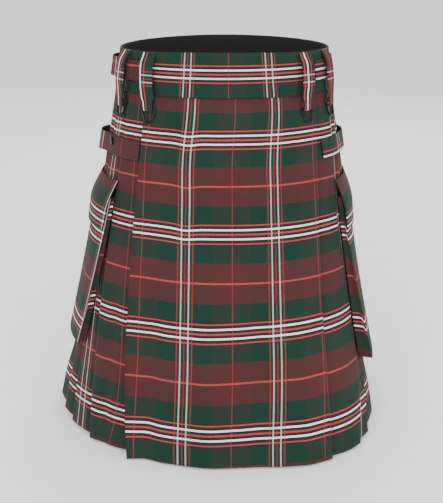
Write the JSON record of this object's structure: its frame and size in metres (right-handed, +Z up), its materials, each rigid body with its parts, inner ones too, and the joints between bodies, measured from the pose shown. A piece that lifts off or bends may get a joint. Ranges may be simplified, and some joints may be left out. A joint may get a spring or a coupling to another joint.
{
  "type": "scottish kilt",
  "caption": "Pleated tartan kilt with overlapping front apron, waistband with belt loops, metal rings, side straps and cargo pockets with flaps, open and hollow as worn.",
  "frame": {"origin": "middle of the waist at the height of the waistband's top edge over the hips", "axes": "+Z up towards the waist, -Y out of the front apron, +X to the wearer's left side"},
  "size_m": [0.5236, 0.4072, 0.6097],
  "materials": {
    "tartan": "woven twill in green and burgundy blocks with thin red and white lines, soft and matt",
    "gunmetal": "dark gunmetal, half gloss"
  },
  "bodies": {
    "kilt": {"front_apron": "tartan", "under_apron": "tartan", "pleats_left": "tartan", "pleats_back_left": "tartan", "pleats_right": "tartan", "pleats_back_right": "tartan", "waistband_apron": "tartan", "waistband_under": "tartan", "waistband_back": "tartan", "belt_loop_inner_left": "tartan", "belt_loop_inner_right": "tartan", "belt_loop_outer_left": "tartan", "belt_loop_outer_right": "tartan", "belt_loop_back_left": "tartan", "belt_loop_back_middle": "tartan", "belt_loop_back_right": "tartan", "strap_waist_left": "tartan", "strap_waist_right": "tartan", "strap_hip_left": "tartan", "strap_hip_right": "tartan", "snap_hip_left": "gunmetal", "pocket_left": "tartan", "pocket_right": "tartan", "pocket_flap_left": "tartan", "pocket_flap_right": "tartan"},
    "ring_inner_left": {"d_ring_inner_left": "gunmetal"},
    "ring_inner_right": {"d_ring_inner_right": "gunmetal"},
    "ring_outer_left": {"d_ring_outer_left": "gunmetal"},
    "ring_outer_right": {"d_ring_outer_right": "gunmetal"}
  },
  "joints": [
    {"name": "ring_swing_inner_left", "type": "hinge", "parent": "kilt", "child": "ring_inner_left", "pos_m": [-0.10781, -0.11661, -0.0773], "axis": [-0.8443, 0.5358, 0], "range_deg": [0, 80]},
    {"name": "ring_swing_inner_right", "type": "hinge", "parent": "kilt", "child": "ring_inner_right", "pos_m": [0.11793, -0.11023, -0.0773], "axis": [-0.795, -0.6066, 0], "range_deg": [0, 80]},
    {"name": "ring_swing_outer_left", "type": "hinge", "parent": "kilt", "child": "ring_outer_left", "pos_m": [-0.15128, -0.07311, -0.0773], "axis": [-0.5536, 0.8327, 0], "range_deg": [0, 80]},
    {"name": "ring_swing_outer_right", "type": "hinge", "parent": "kilt", "child": "ring_outer_right", "pos_m": [0.15475, -0.06549, -0.0773], "axis": [-0.4674, -0.884, 0], "range_deg": [0, 80]}
  ]
}
